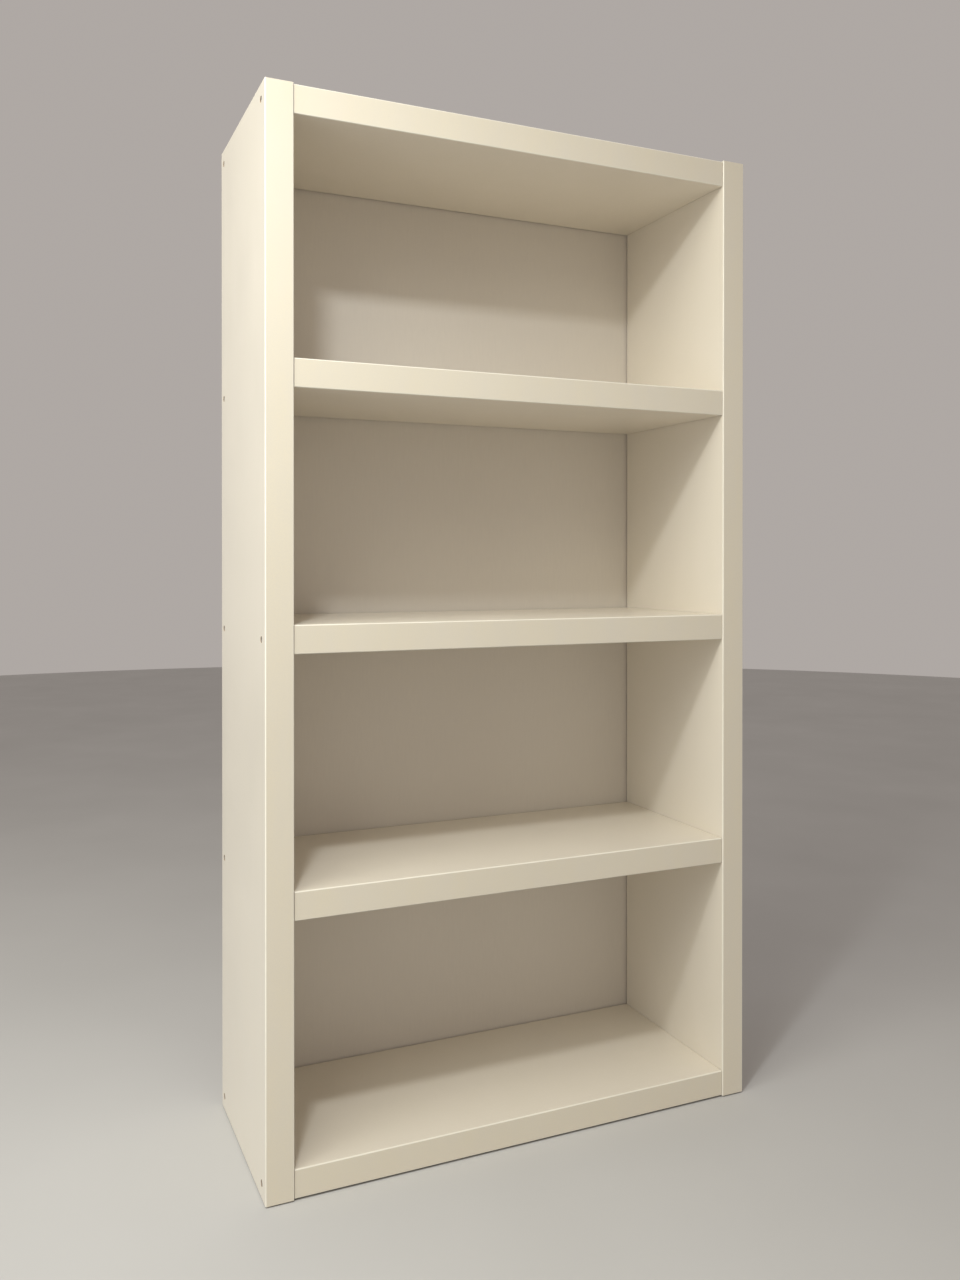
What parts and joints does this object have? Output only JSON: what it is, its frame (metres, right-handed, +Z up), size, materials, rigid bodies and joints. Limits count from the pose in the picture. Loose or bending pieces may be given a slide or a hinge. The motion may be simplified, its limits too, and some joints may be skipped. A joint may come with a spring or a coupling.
{
  "type": "bookcase",
  "caption": "Tall open bookcase of thick cream panels, with a fixed middle shelf, removable upper and lower shelves on hidden supports, and a thin back board.",
  "frame": {"origin": "on the floor under the middle of the bookcase's width and depth", "axes": "+X to the right of someone facing the open front, +Y from the open front to the back board, +Z up"},
  "size_m": [0.99, 0.37, 1.9],
  "materials": {
    "cream_foil": "satin cream foil on hollow-core board, with slightly rounded edges",
    "back_foil": "thin matt beige foil on fibreboard",
    "zinc_steel": "dull zinc-plated steel",
    "beech": "raw beech dowel",
    "dark_plastic": "dark brown moulded plastic"
  },
  "bodies": {
    "root": {"left_side_panel": "cream_foil", "right_side_panel": "cream_foil", "top_panel": "cream_foil", "bottom_panel": "cream_foil", "middle_shelf": "cream_foil", "back_board": "back_foil", "top_bolt_left_front": "zinc_steel", "top_bolt_left_rear": "zinc_steel", "top_bolt_right_front": "zinc_steel", "top_bolt_right_rear": "zinc_steel", "middle_bolt_left_front": "zinc_steel", "middle_bolt_left_rear": "zinc_steel", "middle_bolt_right_front": "zinc_steel", "middle_bolt_right_rear": "zinc_steel", "bottom_bolt_left_front": "zinc_steel", "bottom_bolt_left_rear": "zinc_steel", "bottom_bolt_right_front": "zinc_steel", "bottom_bolt_right_rear": "zinc_steel", "top_dowel_left": "beech", "top_dowel_right": "beech", "middle_dowel_left": "beech", "middle_dowel_right": "beech", "bottom_dowel_left": "beech", "bottom_dowel_right": "beech", "upper_support_bolt_left": "zinc_steel", "upper_support_bolt_right": "zinc_steel", "lower_support_bolt_left": "zinc_steel", "lower_support_bolt_right": "zinc_steel", "upper_support_pin_left": "zinc_steel", "upper_support_pin_right": "zinc_steel", "lower_support_pin_left": "zinc_steel", "lower_support_pin_right": "zinc_steel", "glide_left_front": "dark_plastic", "glide_left_rear": "dark_plastic", "glide_right_front": "dark_plastic", "glide_right_rear": "dark_plastic"},
    "upper_shelf": {"upper_shelf": "cream_foil"},
    "lower_shelf": {"lower_shelf": "cream_foil"}
  },
  "joints": [
    {"name": "upper_shelf_slide", "type": "slide", "parent": "root", "child": "upper_shelf", "axis": [0, -1, 0], "range_m": [0, 0.38]},
    {"name": "lower_shelf_slide", "type": "slide", "parent": "root", "child": "lower_shelf", "axis": [0, -1, 0], "range_m": [0, 0.38]}
  ]
}
